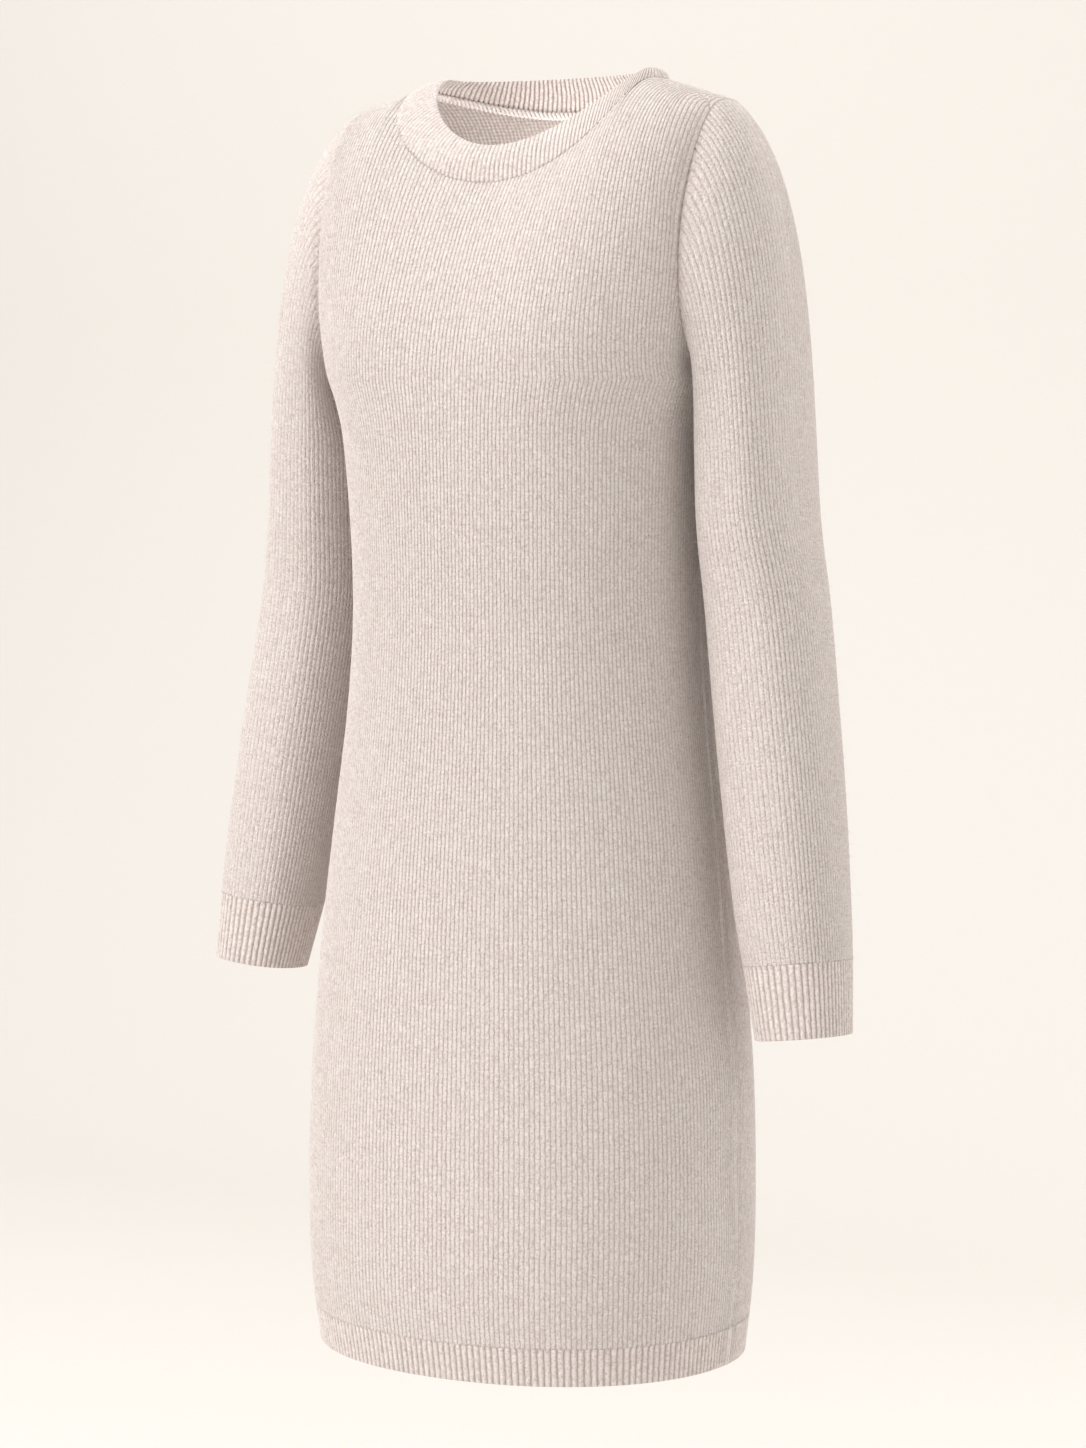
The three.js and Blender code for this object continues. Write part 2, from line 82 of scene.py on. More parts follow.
def ease(t):
    k = np.clip(t, 0, 1)
    return k * k * (3 - 2 * k)


def unit(vectors):
    return vectors / np.maximum(np.linalg.norm(vectors, axis=-1, keepdims=True), 1e-9)


def points(x, y, z):
    return np.stack(np.broadcast_arrays(x, y, z), -1).astype(float)


def between(table, z, column):
    """A smooth value between the rows of a table, at any height."""
    rows = table[np.argsort(table[:, 0])]
    heights, values = rows[:, 0], rows[:, column]
    last = len(values) - 1
    low = np.maximum(np.arange(last + 1) - 1, 0)
    high = np.minimum(np.arange(last + 1) + 1, last)
    slopes = (values[high] - values[low]) / (heights[high] - heights[low])
    z = np.clip(z, heights[0], heights[-1])
    i = np.clip(np.searchsorted(heights, z, side="right") - 1, 0, last - 1)
    step = heights[i + 1] - heights[i]
    t = (z - heights[i]) / step
    return ((1 + 2 * t) * (1 - t) ** 2 * values[i] + t * (1 - t) ** 2 * step * slopes[i]
            + t * t * (3 - 2 * t) * values[i + 1] + t * t * (t - 1) * step * slopes[i + 1])


def top_height(x, facing=BACK):
    """The top of the cloth over the body: shoulder slope, and a low saddle at the neck."""
    reach = np.abs(x)
    slope = SHOULDER_Z * (reach - NECK_HALF) / (SHOULDER_X - NECK_HALF)
    return np.where(reach >= NECK_HALF, slope, SADDLE[facing] * (1 - (reach / NECK_HALF) ** 2))


def set_back(x, z):
    return (ease((z - UNDERARM) / -UNDERARM)
            * mix(SET_BACK_NECK, SET_BACK_SHOULDER, (x / SHOULDER_X) ** 2)
            - SIDE_FORWARD * ease((WAIST - z) / SIDE_OVER))


def depth(x, z, facing):
    """Distance of the cloth from the side seam plane."""
    reach = np.abs(x)
    above = np.maximum(z - UNDERARM, 0)
    wide = between(BODY, z, WIDTH) + CHEST_SPREAD * (1 - np.exp(-above / CHEST_RISE))
    square = (reach / SHOULDER_X) ** 2
    up = np.clip((z - UNDERARM) / (top_height(x, facing) - UNDERARM), 0, 1)
    middle = CLOSING_FRONT if facing == FRONT else CLOSING_BACK
    share = np.minimum(square * FRONT_SOONER, 1) if facing == FRONT else square
    power, root = (mix(a, b, share) for a, b in zip(middle, CLOSING_SHOULDER))
    closing = np.maximum(1 - up ** power, 0) ** (1 / root)
    round_ = between(BODY, z, ROUND)
    across = np.maximum(1 - (reach / wide) ** round_, 0) ** (1 / round_)
    full = between(BODY, z, DEPTH[facing]) * closing * across
    if facing == BACK:
        return full
    cup = np.exp(-((reach - CUP_X) / CUP_WIDE) ** 2 - ((z - CUP_Z) / CUP_TALL) ** 2)
    return full + CUP_DEPTH * cup * across


def on_body(x, z, facing):
    return points(x, set_back(x, z) + facing * depth(x, z, facing), z)


def armhole_width(up):
    return (SHOULDER_X + (UNDERARM_HALF - SHOULDER_X) * (1 - up) ** 3
            - ARMHOLE_CUT * np.sin(np.pi * up))


def neck_height(to_middle, facing):
    if facing == FRONT:
        return -NECK_DROP_FRONT * to_middle ** NECK_CURVE_FRONT
    return -NECK_DROP_BACK * to_middle ** NECK_CURVE_BACK


def section_arc(facing, z, x):
    """Length of cloth from the middle of the panel out to x, around one level."""
    steps = np.linspace(0, 1, 700)
    wide = between(BODY, z, WIDTH) + CHEST_SPREAD * (
        1 - math.exp(-max(z - UNDERARM, 0) / CHEST_RISE))
    side = wide * np.sin(steps * np.pi / 2)
    round_ = float(between(BODY, z, ROUND))
    out = between(BODY, z, DEPTH[facing]) * np.maximum(
        1 - (side / wide) ** round_, 0) ** (1 / round_)
    arc = np.r_[0, np.cumsum(np.hypot(np.diff(side), np.diff(out)))]
    return np.interp(np.abs(x), side, arc)


SHARES = np.linspace(-1, 1, PANEL_WALES * WALE_COLUMNS + 1)
SIDE_ARC = float(section_arc(FRONT, UNDERARM, UNDERARM_HALF))
WALE = SIDE_ARC / (PANEL_WALES / 2)
STRAIGHT_TO, STRAIGHT_POWER = -110.0, 1.6
EVEN_SHARE = 0.6
LEVELS = np.linspace(UNDERARM, STRAIGHT_TO, 14)
REACHES = np.linspace(0, 158.0, 800)
ARCS = np.stack([section_arc(FRONT, level, REACHES) for level in LEVELS])


def width_share(shares):
    """Where the stitch columns lie across a level, as a share of its half width."""
    reach = np.interp(np.abs(shares) * SIDE_ARC, ARCS[0], REACHES)
    return np.sign(shares) * np.minimum(reach / UNDERARM_HALF, 1)


def level_place(z):
    """Between which two levels of the chest a height lies, and how far."""
    rise = np.clip((z - UNDERARM) / (STRAIGHT_TO - UNDERARM), 0, 1)
    place = rise ** STRAIGHT_POWER * (len(LEVELS) - 1)
    low = np.minimum(place.astype(int), len(LEVELS) - 2)
    return low, place - low


def across_at(z, values, come, go):
    """Looks values up from one measure of the chest's levels to another, at each height."""
    low, part = level_place(z)
    made = np.stack([np.interp(values, come[k], go[k]) for k in range(len(LEVELS))])
    return mix(np.take_along_axis(made, low[None], 0)[0],
               np.take_along_axis(made, low[None] + 1, 0)[0], part)


EVERY_REACH = np.repeat(REACHES[None], len(LEVELS), 0)


def column_arc(shares, z):
    """Cloth length from the middle to a column: even on the chest, and closer together
    towards the armhole, whose edge cuts in above the underarm."""
    up = np.clip((z - UNDERARM) / (SHOULDER_Z - UNDERARM), 0, 1)
    edge = across_at(z, armhole_width(up), EVERY_REACH, ARCS)
    beyond = (np.abs(shares) - EVEN_SHARE) / (1 - EVEN_SHARE)
    return np.where(beyond <= 0, np.abs(shares) * SIDE_ARC,
                    mix(EVEN_SHARE * SIDE_ARC, edge, beyond))


def column_x(shares, z):
    up = np.clip((z - UNDERARM) / (SHOULDER_Z - UNDERARM), 0, 1)
    reach = across_at(z, column_arc(shares, z), ARCS, EVERY_REACH)
    return np.sign(shares) * np.minimum(reach, armhole_width(up))


def column_top(shares):
    """Each column's place on the neck or shoulder seam, and how far out on the shoulder."""
    x = column_x(shares, np.full(np.shape(shares), SHOULDER_Z))
    return x, np.clip((np.abs(x) - NECK_HALF) / (SHOULDER_X - NECK_HALF), 0, 1)


def risen(shares, facing, rise):
    x_top, out = column_top(shares)
    to_middle = np.sqrt(np.maximum(1 - (x_top / NECK_HALF) ** 2, 0))
    z_top = np.where(out > 0, top_height(x_top), neck_height(to_middle, facing))
    z = mix(UNDERARM, z_top, np.where(rise > 1, 2 - rise, rise))
    x = column_x(shares, z)
    return np.where((rise > 1)[..., None], on_body(x, z, -facing), on_body(x, z, facing))


def last_rise(shares, facing):
    """The shoulder seam lies in front of the top: the front stops short, the back goes over."""
    _, out = column_top(shares)
    low, high = np.full(shares.shape, 0.5), np.ones(shares.shape)
    for _ in range(24):
        middle = (low + high) / 2
        p = risen(shares, FRONT, middle)
        short = set_back(p[..., 0], p[..., 2]) - p[..., 1] > SEAM_FORWARD * out
        low, high = np.where(short, middle, low), np.where(short, high, middle)
    return np.where(out > 0, low if facing == FRONT else 2 - low, 1.0)


def steps_to(last, count):
    """Steps of rise up to the last one, closest together over the top of the shoulder."""
    way = np.linspace(0, 1, count)[:, None] * (1 + np.cbrt(last - 1))[None]
    return 1 - (1 - way) ** 3


def even_rises(shares, facing, rows):
    """Rises that put a column's points at even distances along the cloth."""
    rises = steps_to(last_rise(shares, facing), 400)
    places = risen(np.broadcast_to(shares, rises.shape), facing, rises)
    along = np.concatenate([np.zeros((1, len(shares))), np.cumsum(np.linalg.norm(
        np.diff(places, axis=0), axis=2), 0)])
    return np.stack([np.interp(np.linspace(0, line[-1], rows + 1), line, rise)
                     for line, rise in zip(along.T, rises.T)], -1)


def panel_grid(shares, facing, lower_rows, upper_rows):
    rib_top = HEM + HEM_RIB
    heights = np.r_[rib_top, np.linspace(rib_top + JOIN_ROW, UNDERARM, lower_rows)][:-1, None]
    lower = on_body(between(BODY, heights, WIDTH) * width_share(shares)[None], heights, facing)
    rises = even_rises(shares, facing, upper_rows)
    upper = risen(np.broadcast_to(shares, rises.shape), facing, rises)
    return np.concatenate([lower, upper])


def outward(grid, ring=False):
    """Outward directions of a grid of points whose columns run to the left in turn."""
    if ring:
        along = np.roll(grid, -1, 1) - np.roll(grid, 1, 1)
    else:
        along = np.gradient(grid, axis=1)
    return unit(np.cross(along, np.gradient(grid, axis=0)))


def near(line, grid):
    """Distance from every point of a grid to a line of points."""
    tree = KDTree(len(line))
    for i, p in enumerate(line):
        tree.insert(p, i)
    tree.balance()
    flat = grid.reshape(-1, 3)
    return np.array([tree.find(p)[2] for p in flat]).reshape(grid.shape[:-1])


def ridge(wales):
    """Height of a rounded stitch column: 0 in the gap between two columns, 1 on top."""
    return np.abs(np.sin(np.pi * wales)) ** 0.8


def joined(a, b):
    """Triangles between two edges that need not have the same number of points."""
    made, i, j = [], 0, 0
    while i < len(a) - 1 or j < len(b) - 1:
        step_a, step_b = (i + 1) / max(len(a) - 1, 1), (j + 1) / max(len(b) - 1, 1)
        if j == len(b) - 1 or (i < len(a) - 1 and step_a <= step_b):
            made.append((a[i + 1], a[i], b[j]))
            i += 1
        else:
            made.append((b[j], b[j + 1], a[i]))
            j += 1
    return made


def quads(numbers, ring):
    if ring:
        numbers = np.concatenate([numbers, numbers[:, :1]], 1)
    return np.stack([numbers[:-1, :-1], numbers[:-1, 1:], numbers[1:, 1:], numbers[1:, :-1]],
                    -1).reshape(-1, 4)


def cloth_mesh(name, places, faces, knit, bake, inside_from, materials, cut_faces=()):
    """A mesh from points in millimetres. knit counts stitch columns and courses at each
    face corner, and bake is its place on the flat map. Cut faces run through the cloth and
    meet its two sides at a sharp corner."""
    mesh = bpy.data.meshes.new(name)
    mesh.from_pydata((places * MM).tolist(), [], faces)
    for layer, values in (("OFBake", bake), ("knit", knit)):
        mesh.uv_layers.new(name=layer).data.foreach_set("uv", values.astype(np.float32).ravel())
    for material in materials:
        mesh.materials.append(material)
    slots = np.zeros(len(faces), np.int32)
    slots[inside_from:] = min(1, len(materials) - 1)
    mesh.polygons.foreach_set("material_index", slots)
    smooth = np.ones(len(faces), bool)
    smooth[list(cut_faces)] = False
    mesh.polygons.foreach_set("use_smooth", smooth)
    mesh.update()
    piece = bpy.data.objects.new(name, mesh)
    bpy.context.scene.collection.objects.link(piece)
    return piece


OUTSIDE_MAP, INSIDE_MAP, MAP_EDGE = (0.015, 0.74), (0.77, 0.985), 0.006


def thin_shell(name, outer, inner, outer_knit, inner_knit, ring, materials):
    """Closed thin cloth between an outer and an inner grid, joined round its edges."""
    count = outer.shape[0] * outer.shape[1]
    outside = np.arange(count).reshape(outer.shape[:2])
    inside = count + np.arange(inner.shape[0] * inner.shape[1]).reshape(inner.shape[:2])
    out_faces = quads(outside, ring)
    in_faces = quads(inside, ring)[:, ::-1]

    def closed(row):
        return list(row) + ([row[0]] if ring else [])
    edges = joined(closed(outside[0]), closed(inside[0]))
    edges += joined(closed(outside[-1])[::-1], closed(inside[-1])[::-1])
    if not ring:
        edges += joined(outside[:, -1].tolist(), inside[:, -1].tolist())
        edges += joined(outside[::-1, 0].tolist(), inside[::-1, 0].tolist())
    faces = out_faces.tolist() + [tuple(face) for face in edges] + in_faces.tolist()

    def flat_map(shape, left, right):
        columns = shape[1] + (1 if ring else 0)
        across = np.linspace(left, right, columns)[None, :shape[1]]
        up = np.linspace(0.015, 0.985, shape[0])[:, None]
        return np.stack(np.broadcast_arrays(across, up), -1)
    bake_out, bake_in = flat_map(outer.shape, *OUTSIDE_MAP), flat_map(inner.shape, *INSIDE_MAP)
    knit_all = np.concatenate([outer_knit.reshape(-1, 2), inner_knit.reshape(-1, 2)])
    bake_all = np.concatenate([bake_out.reshape(-1, 2), bake_out.reshape(-1, 2)[:1].repeat(
        inside.size, 0)])
    edge_numbers = np.array(edges)
    in_edge = edge_numbers >= count
    nearest = np.where(in_edge, edge_numbers[:, ::-1], edge_numbers)
    nearest = np.where(nearest >= count, edge_numbers.min(1, keepdims=True), nearest)
    edge_bake = bake_all[nearest] + np.where(in_edge, MAP_EDGE, 0.0)[..., None]
    edge_knit = knit_all[nearest]
    step_out = (OUTSIDE_MAP[1] - OUTSIDE_MAP[0]) / (outer.shape[1] - (0 if ring else 1))
    step_in = (INSIDE_MAP[1] - INSIDE_MAP[0]) / (inner.shape[1] - (0 if ring else 1))

    def ringed(values, gap):
        if ring:
            values = np.concatenate([values, values[:, -1:] + [gap, 0]], 1)
        quad = np.stack([values[:-1, :-1], values[:-1, 1:], values[1:, 1:], values[1:, :-1]], 2)
        return quad.reshape(-1, 4, 2)
    wale_step = outer_knit[0, 1, 0] - outer_knit[0, 0, 0]
    in_step = inner_knit[0, 1, 0] - inner_knit[0, 0, 0]
    knit = np.concatenate([ringed(outer_knit, wale_step).reshape(-1, 2),
                           edge_knit.reshape(-1, 2),
                           ringed(inner_knit, in_step)[:, ::-1].reshape(-1, 2)])
    bake = np.concatenate([ringed(bake_out, step_out).reshape(-1, 2),
                           edge_bake.reshape(-1, 2),
                           ringed(bake_in, step_in)[:, ::-1].reshape(-1, 2)])
    places = np.concatenate([outer.reshape(-1, 3), inner.reshape(-1, 3)])
    cut_to = len(out_faces) + len(edges)
    return cloth_mesh(name, places, faces, knit, bake, cut_to, materials,
                      range(len(out_faces), cut_to))


def srgb(hex_colour):
    """An sRGB hex colour as the linear colour that a shader takes."""
    channels = [int(hex_colour[i:i + 2], 16) / 255 for i in (1, 3, 5)]
    return tuple(c / 12.92 if c <= 0.04045 else ((c + 0.055) / 1.055) ** 2.4
                 for c in channels) + (1.0,)


def node(tree, kind, operation=None, *values, inputs=None, output=0, **settings):
    """Adds a node with its operation and settings, sets or links its inputs in turn or by
    name, and gives the wanted output."""
    made = tree.nodes.new("ShaderNode" + kind)
    for name, value in settings.items():
        setattr(made, name, value)
    if operation:
        made.operation = operation
    for socket, value in [*enumerate(values), *(inputs or {}).items()]:
        if isinstance(value, bpy.types.NodeSocket):
            tree.links.new(value, made.inputs[socket])
        else:
            made.inputs[socket].default_value = value
    return made.outputs[output] if len(made.outputs) else None


# Wool-blend yarn, spun from pale and darker fibres and lightly brushed. It gives a warm
# off-white with small darker flecks, and its loose fibre ends catch light at a low angle.
YARN_PALE = "#F4EEEC"
YARN_SHADE = "#E0D6D2"
YARN_FLECK = "#B4A49B"
# Painted shade: the darker colour laid into the gaps between stitches, where shade falls.
GAP_PAINTED_SHADE = "#A08B7E"
YARN_ROUGHNESS = 0.92
WOOL_IOR = 1.55
FIBRE_SHEEN = 0.5
STITCH_STRAY = (0.45, 0.8, 0.0)
UNEVEN, CLOUDS, FIBRE_GRAIN = 210.0, 120.0, 620.0
FLECK_FROM, FLECK_TO, FLECK_SHARE = 0.46, 0.66, 0.6
STITCH_BUMP, FIBRE_BUMP, CLOUD_BUMP = 0.8, 1.7, 1.2


def wool(name, height_of, gap_shade_strength, bump_depth):
    """One knitted finish. height_of draws its stitches from the stitch columns and courses:
    it gives their height, and the share of a point that lies in a gap. The gaps get painted
    shade, as strong as the third argument says."""
    material = bpy.data.materials.new(name)
    material.use_nodes = True
    tree = material.node_tree
    tree.nodes.clear()
    place = node(tree, "TexCoord", output="Object")
    counted = node(tree, "UVMap", uv_map="knit")
    uneven = node(tree, "TexNoise", output="Color",
                  inputs={"Vector": place, "Scale": UNEVEN, "Detail": 2.0})
    shifted = node(tree, "VectorMath", "ADD", uneven, (-0.5, -0.5, 0.0))
    strayed = node(tree, "VectorMath", "MULTIPLY", shifted, STITCH_STRAY)
    wale = node(tree, "SeparateXYZ", None, node(tree, "VectorMath", "ADD", counted, strayed))
    course = wale.node.outputs[1]
    height, gap = height_of(tree, wale, course)
    # Clouds of tone about 8 mm across, and a grain of fibres about 1.6 mm across
    cloudy = node(tree, "TexNoise", inputs={"Vector": place, "Scale": CLOUDS, "Detail": 4.0,
                                            "Roughness": 0.65})
    fibres = node(tree, "TexNoise", inputs={"Vector": place, "Scale": FIBRE_GRAIN,
                                            "Detail": 3.0, "Roughness": 0.7})
    stitch = node(tree, "CombineXYZ", None, node(tree, "Math", "FLOOR", wale),
                  node(tree, "Math", "FLOOR", course))
    own_tone = node(tree, "TexWhiteNoise", None, output="Value", inputs={"Vector": stitch},
                    noise_dimensions="2D")
    tone = node(tree, "Math", "ADD", node(tree, "Math", "MULTIPLY", own_tone, 0.45),
                node(tree, "Math", "MULTIPLY", cloudy, 0.55))
    fleck = node(tree, "MapRange", None, fibres, FLECK_FROM, FLECK_TO, 0.0, FLECK_SHARE)
    # Painted shade: a darker colour is mixed in where the stitches leave gaps, as shade would
    # fall there.
    painted_gap_shade = node(tree, "Math", "MULTIPLY", gap, gap_shade_strength)
    colour = srgb(YARN_PALE)
    for share, other in ((tone, YARN_SHADE), (fleck, YARN_FLECK), (painted_gap_shade, GAP_PAINTED_SHADE)):
        colour = node(tree, "Mix", inputs={0: share, 6: colour, 7: srgb(other)}, output=2,
                      data_type="RGBA")
    hairs = node(tree, "Math", "ADD", node(tree, "Math", "MULTIPLY", fibres, FIBRE_BUMP),
                 node(tree, "Math", "MULTIPLY", cloudy, CLOUD_BUMP))
    rough = node(tree, "Math", "ADD", node(tree, "Math", "MULTIPLY", height, STITCH_BUMP),
                 hairs)
    bump = node(tree, "Bump", inputs={"Height": rough, "Strength": 1.0,
                                      "Distance": bump_depth * MM})
    shader = node(tree, "BsdfPrincipled", inputs={
        "Base Color": colour, "Roughness": YARN_ROUGHNESS, "IOR": WOOL_IOR,
        "Specular IOR Level": 0.25, "Sheen Weight": FIBRE_SHEEN, "Sheen Roughness": 0.55,
        "Sheen Tint": srgb("#F6EEE7"), "Normal": bump})
    node(tree, "OutputMaterial", None, shader)
    return material


def from_middle(tree, wale):
    """How far a point is from the middle of its stitch column, 1 at the column's edge."""
    aside = node(tree, "Math", "SUBTRACT", node(tree, "Math", "FRACT", wale), 0.5)
    return node(tree, "Math", "MULTIPLY", node(tree, "Math", "ABSOLUTE", aside), 2.0)


def legs_up(tree, course, aside, slant):
    """How far up its leg of yarn a point is. Legs climb as they leave the middle."""
    climbed = node(tree, "Math", "SUBTRACT", course,
                   node(tree, "Math", "MULTIPLY", aside, slant))
    return node(tree, "Math", "FRACT", climbed)


def without(tree, value, power):
    """What a value, raised to a power, leaves of 1."""
    return node(tree, "Math", "SUBTRACT", 1.0, node(tree, "Math", "POWER", value, power))


def rounded(tree, value):
    """A round hump over a value from 0 to 1, highest halfway."""
    doubled = node(tree, "Math", "MULTIPLY", value, 2.0)
    aside = node(tree, "Math", "SUBTRACT", doubled, 1.0)
    return without(tree, node(tree, "Math", "ABSOLUTE", aside), 2.0)


def weighed(tree, a, share_a, b, share_b):
    return node(tree, "Math", "ADD", node(tree, "Math", "MULTIPLY", a, share_a),
                node(tree, "Math", "MULTIPLY", b, share_b))


def plain_stitches(tree, wale, course):
    """Plain side of jersey: in each column, two legs of yarn meet in a V at each course."""
    aside = from_middle(tree, wale)
    cycle = rounded(tree, legs_up(tree, course, aside, 0.75))
    leg = node(tree, "Math", "MULTIPLY", cycle, rounded(tree, aside))
    between_legs = node(tree, "Math", "MULTIPLY",
                        node(tree, "Math", "SUBTRACT", 1.0, cycle), 0.35)
    # Share of painted shade: the gap beside each column, and a little between the legs of yarn.
    gap = node(tree, "Math", "MAXIMUM", node(tree, "Math", "POWER", aside, 3.0), between_legs)
    return weighed(tree, without(tree, aside, 3.0), 0.6, leg, 0.4), gap


def purl_stitches(tree, wale, course):
    """Purl side: short bumps of yarn, one to each stitch, with painted shade in the gaps
    between them.
    """
    over = node(tree, "Math", "SINE", node(tree, "Math", "MULTIPLY", course, 2 * math.pi))
    side = node(tree, "Math", "COSINE", node(tree, "Math", "MULTIPLY", wale, 2 * math.pi))
    bumps = node(tree, "Math", "MULTIPLY_ADD", side, 0.27,
                 node(tree, "Math", "MULTIPLY_ADD", over, 0.14, 0.5))
    return bumps, node(tree, "Math", "SUBTRACT", 1.0, bumps)


# Outside of the jersey: soft matt columns of small Vs, with faint painted shade in the gaps
# between them.
jersey = wool("plain_jersey_wool_blend", plain_stitches, 0.45, 1.0)
# Inside of the jersey: small bumps with painted shade in the hollows between them, rougher than
# the outside.
jersey_reverse = wool("purl_side_of_jersey", purl_stitches, 0.9, 1.4)

EDGE_WALES = 7
EDGE_WALE = 3.2
FASHIONED_FROM, FASHIONED_OVER = -125.0, 60.0
EDGE_COUNT = float(column_arc(np.array([1.0]), np.array([FASHIONED_FROM + 20]))[0]) / WALE
LOWER_ROWS, UPPER_ROWS = 66, 84


def panel_counts(grid, lower_rows, shares):
    """Stitch columns and courses of a panel. The few columns beside an armhole follow it."""
    wales = np.repeat(shares[None] * PANEL_WALES / 2, len(grid), 0)
    upper = grid[lower_rows:]
    wide = np.broadcast_to(shares, upper.shape[:2])
    wales[lower_rows:] = np.sign(wide) * column_arc(wide, upper[..., 2]) / WALE
    for side, column in ((-1, 0), (1, -1)):
        half = np.sign(shares) == side
        part = upper[:, half]
        far = near(upper[:, column], part)
        reach = EDGE_WALES * EDGE_WALE * ease((part[..., 2] - FASHIONED_FROM) / FASHIONED_OVER)
        kept = wales[lower_rows:][:, half]
        beside = side * (EDGE_COUNT - far / EDGE_WALE)
        share = np.where(np.abs(beside - kept) < 2.5, ease((reach + 4 - far) / 8), far < reach)
        wales[lower_rows:, half] = mix(kept, beside, np.where(reach > 0.5, share, 0))
    return wales, (grid[..., 2] - HEM) / COURSE


def hollow(grid):
    """Soft creases where the cloth eases at the underarms and beside the side seams."""
    x, z = np.abs(grid[..., 0]), grid[..., 2]
    sunk = np.zeros(x.shape)
    # From x, z to x, z of each crease, with how wide and how deep it is
    for x0, z0, x1, z1, wide, deep in (
            (138, -196, 96, -128, 9, 0.8), (134, -214, 84, -236, 9, 0.7),
            (126, -236, 60, -272, 12, 0.5)):
        along = np.clip(((x - x0) * (x1 - x0) + (z - z0) * (z1 - z0))
                        / ((x1 - x0) ** 2 + (z1 - z0) ** 2), 0, 1)
        off = np.hypot(x - mix(x0, x1, along), z - mix(z0, z1, along))
        sunk += deep * np.sin(np.pi * np.clip(along, 0.02, 0.98)) * np.exp(-(off / wide) ** 2)
    ripple = np.sin(z / 23.0 + 0.6 * np.sin(z / 61.0)) * np.exp(-((x / between(
        BODY, z, WIDTH) - 1) / 0.05) ** 2)
    return sunk - 0.8 * ripple * ease((-420 - z) / 200)


VALLEY_WIDE, VALLEY_LEAST, VALLEY_SIDE = 6.5, 0.2, 2.0


def seam_valley(away, z):
    """How far the cloth sinks towards an armhole seam: a broad soft valley down the side,
    which comes in below the shoulder and mostly goes again at the underarm."""
    side = ease((-10 - z) / 60) * (1 - 0.7 * ease((-140 - z) / 50))
    return (VALLEY_LEAST + VALLEY_SIDE * side) * np.exp(-(away / VALLEY_WIDE) ** 2)


def crease_way(grid):
    """The way that cloth faces in the crease of the armhole, round the wearer's left arm."""
    x, y, z = np.moveaxis(grid, -1, 0)
    return unit(points(0.5, (y - set_back(x, z)) / 60, (z + 115) / 95))


def faced(out, way, away, wide):
    """Outward directions that turn to one shared way at a seam, so that two pieces meet."""
    return unit(mix(out, way, np.exp(-(away / wide) ** 2)[..., None]))


SEAM_SUNK, SEAM_SOFT, SEAM_LINE = 0.35, 1.2, 1.0
SIDE_TURN, ARMHOLE_TURN = 4.0, 3.0


def make_panel(facing, name):
    grid = panel_grid(SHARES, facing, LOWER_ROWS, UPPER_ROWS)
    out = outward(grid) * -facing
    wales, courses = panel_counts(grid, LOWER_ROWS, SHARES)
    lower, upper = grid[:LOWER_ROWS], grid[LOWER_ROWS:]
    relief = WALE_RELIEF * (ridge(wales) - 1) - hollow(grid)
    to_side = near(np.concatenate([lower[:, 0], lower[:, -1]]), grid)
    flat_side = points(np.sign(grid[..., 0]), 0, 0)
    out = faced(out, flat_side, to_side, SIDE_TURN)
    to_armhole = near(np.concatenate([upper[:, 0], upper[:, -1]]), upper)
    handed = np.array([-1.0, 1.0, 1.0])
    left_way = crease_way(upper * np.where(upper[..., :1] < 0, handed, 1.0))
    way = left_way * np.where(upper[..., :1] < 0, handed, 1.0)
    out[LOWER_ROWS:] = faced(out[LOWER_ROWS:], way, to_armhole, ARMHOLE_TURN)
    _, on_shoulder = column_top(SHARES)
    to_shoulder = near(upper[-1][on_shoulder > 0], upper)
    to_seam = to_side.copy()
    to_seam[LOWER_ROWS:] = np.minimum(to_seam[LOWER_ROWS:], np.minimum(to_armhole, to_shoulder))
    relief = (relief * (1 - np.exp(-(to_seam / SEAM_SOFT) ** 2))
              - SEAM_SUNK * np.exp(-(to_seam / SEAM_LINE) ** 2))
    relief *= 1 - np.exp(-((grid[..., 2] - HEM - HEM_RIB) / JOIN_FADE) ** 2)
    relief[LOWER_ROWS:] -= seam_valley(to_armhole, upper[..., 2])
    outer = grid + out * relief[..., None]
    some = slice(None, None, 6)
    rows = np.r_[0:len(grid):3, len(grid) - 1]
    inner = (grid - out * (CLOTH - np.minimum(relief, 0)[..., None] * 0.5))[rows][:, some]
    counted = np.stack([wales, courses], -1)
    inner_counted = counted[rows][:, some]
    if facing == BACK:
        outer, counted = outer[:, ::-1], counted[:, ::-1]
        inner, inner_counted = inner[:, ::-1], inner_counted[:, ::-1]
    return grid, out, thin_shell(name, outer, inner, counted, inner_counted, False,
                                 [jersey, jersey_reverse])


front_grid, front_out, front_panel = make_panel(FRONT, "front_panel_jersey")
back_grid, back_out, back_panel = make_panel(BACK, "back_panel_jersey")
for panel, solid in ((front_panel, "front_panel"), (back_panel, "back_panel")):
    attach(panel, "root")
    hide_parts(solid)

# Sleeves: one tube of the same jersey each, knitted to shape with a rounded head that is
# linked into the armhole. The left one hangs a little lower than the right one.
SLEEVE_WALES = 88
SLEEVE_COLUMNS = 6
CUFF_TOP, CUFF_END = -602.0, -650.0
SLEEVE_DROP = {"right": 0.965, "left": 1.025}
SLEEVE_LEAN = unit(np.array([0.12, -0.06, -1.0]))
SLEEVE = np.array([
    (-262, 174.5, -3, 32.5, 57, 2.8), (-310, 176.5, -2, 34.5, 56, 2.7),
    (-365, 183, -1, 38.5, 50.5, 2.5), (-430, 192, -6, 40, 47.5, 2.4),
    (-500, 202, -12, 40, 45, 2.35), (-570, 212, -18.5, 38.3, 41.3, 2.3),
    (-602, 217, -21, 36.2, 39, 2.25), (-650, 224, -26, 32.6, 35.2, 2.2)])
HEAD_ROWS, ARM_ROWS = 26, 42


